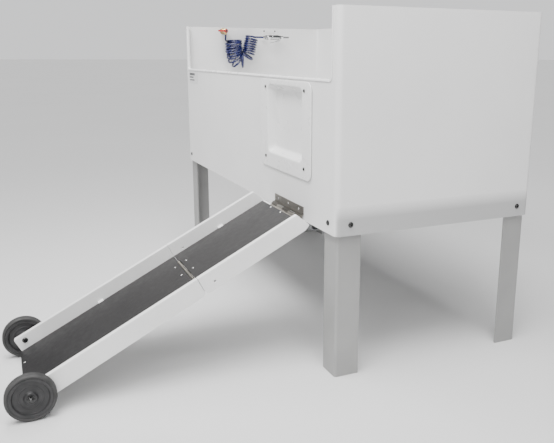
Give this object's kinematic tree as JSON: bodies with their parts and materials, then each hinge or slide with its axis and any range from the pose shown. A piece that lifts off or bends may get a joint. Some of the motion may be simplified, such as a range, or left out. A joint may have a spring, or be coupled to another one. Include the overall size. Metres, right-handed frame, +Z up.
{
  "type": "wash tank with ramp",
  "caption": "Raised white plastic wash tank on angle legs, with a low front, a curly hose and spray gun, and a folding wheeled ramp.",
  "frame": {"origin": "on the floor, under the middle of the object's bounding box", "axes": "+Z up, +X to the right along the tank's front as seen by someone facing it, +Y from the ramp towards the tank's back"},
  "size_m": [1.8106, 1.8229, 1.22],
  "materials": {
    "white_plastic": "satin white sheet plastic, faintly cloudy",
    "bolt_steel": "bright domed stainless",
    "hinge_steel": "brushed stainless, a little dulled",
    "mat_rubber": "fine-grained dark grey",
    "wheel_plastic": "moulded dark grey",
    "tyre_rubber": "matt grey rubber",
    "grey_plastic": "moulded grey pipe",
    "brass": "turned",
    "chrome": "polished",
    "blue_hose": "glossy blue polyurethane",
    "lever_red": "dipped handle",
    "plate_print": "plain printed film"
  },
  "bodies": {
    "tank": {"cover_screw_1": "bolt_steel", "cover_screw_2": "bolt_steel", "cover_screw_3": "bolt_steel", "cover_screw_4": "bolt_steel", "data_plate": "plate_print", "drain_pipe": "grey_plastic", "drain_strainer": "hinge_steel", "drain_union": "grey_plastic", "drain_valve_body": "grey_plastic", "floor_rib_1": "white_plastic", "floor_rib_2": "white_plastic", "front_rim_trim": "white_plastic", "gun_hook": "hinge_steel", "hose_coil_drop": "blue_hose", "hose_coil_rise": "blue_hose", "hose_from_inlet": "blue_hose", "hose_link": "blue_hose", "hose_to_gun": "blue_hose", "inlet_bulkhead": "brass", "inlet_valve_body": "brass", "leg_bolt_1": "bolt_steel", "leg_bolt_2": "bolt_steel", "leg_bolt_3": "bolt_steel", "leg_bolt_4": "bolt_steel", "leg_bolt_5": "bolt_steel", "leg_bolt_6": "bolt_steel", "leg_bolt_7": "bolt_steel", "leg_bolt_8": "bolt_steel", "leg_front_left": "white_plastic", "leg_front_right": "white_plastic", "leg_rear_left": "white_plastic", "leg_rear_right": "white_plastic", "recess_cover": "white_plastic", "spray_gun_body": "chrome", "spray_gun_nozzle": "chrome", "tank_floor": "white_plastic", "tank_hinge_fixed_leaf": "hinge_steel", "tank_hinge_pin": "hinge_steel", "tank_shell": "white_plastic"},
    "ramp_upper": {"upper_rail_left": "white_plastic", "upper_rail_right": "white_plastic", "upper_deck": "white_plastic", "upper_mat": "mat_rubber", "tank_hinge_moving_leaf": "hinge_steel", "fold_hinge_upper_leaf": "hinge_steel", "fold_hinge_pin": "hinge_steel"},
    "ramp_lower": {"lower_rail_left": "white_plastic", "lower_rail_right": "white_plastic", "lower_deck": "white_plastic", "lower_mat": "mat_rubber", "fold_hinge_lower_leaf": "hinge_steel", "left_axle_bolt": "bolt_steel", "right_axle_bolt": "bolt_steel"},
    "left_wheel": {"left_wheel_hub": "wheel_plastic", "left_tyre": "tyre_rubber"},
    "right_wheel": {"right_wheel_hub": "wheel_plastic", "right_tyre": "tyre_rubber"},
    "inlet_handle": {"inlet_lever": "lever_red"},
    "drain_handle": {"drain_lever": "lever_red"},
    "gun_trigger": {"spray_gun_trigger": "chrome"}
  },
  "joints": [
    {"name": "ramp_swing", "type": "hinge", "parent": "tank", "child": "ramp_upper", "pos_m": [0.52, 0.09433, 0.5102], "axis": [-1, 0, 0], "range_deg": [0, 50]},
    {"name": "ramp_fold", "type": "hinge", "parent": "ramp_upper", "child": "ramp_lower", "pos_m": [0.52, -0.28524, 0.3168], "axis": [1, 0, 0], "range_deg": [0, 90]},
    {"name": "left_wheel_spin", "type": "hinge", "parent": "ramp_lower", "child": "left_wheel", "pos_m": [0.281, -0.83656, 0.075], "axis": [1, 0, 0], "continuous": true},
    {"name": "right_wheel_spin", "type": "hinge", "parent": "ramp_lower", "child": "right_wheel", "pos_m": [0.759, -0.83656, 0.075], "axis": [1, 0, 0], "continuous": true},
    {"name": "inlet_valve_turn", "type": "hinge", "parent": "tank", "child": "inlet_handle", "pos_m": [-0.8294, 0.31476, 1.2], "axis": [-1, 0, 0], "range_deg": [0, 90]},
    {"name": "drain_valve_turn", "type": "hinge", "parent": "tank", "child": "drain_handle", "pos_m": [0.5406, 0.21056, 0.462], "axis": [0, 1, 0], "range_deg": [0, 90]},
    {"name": "trigger_squeeze", "type": "hinge", "parent": "tank", "child": "gun_trigger", "pos_m": [-0.8075, 0.61526, 1.1515], "axis": [-1, 0, 0], "range_deg": [0, 8], "stiffness_Nm_per_rad": 0.5}
  ]
}
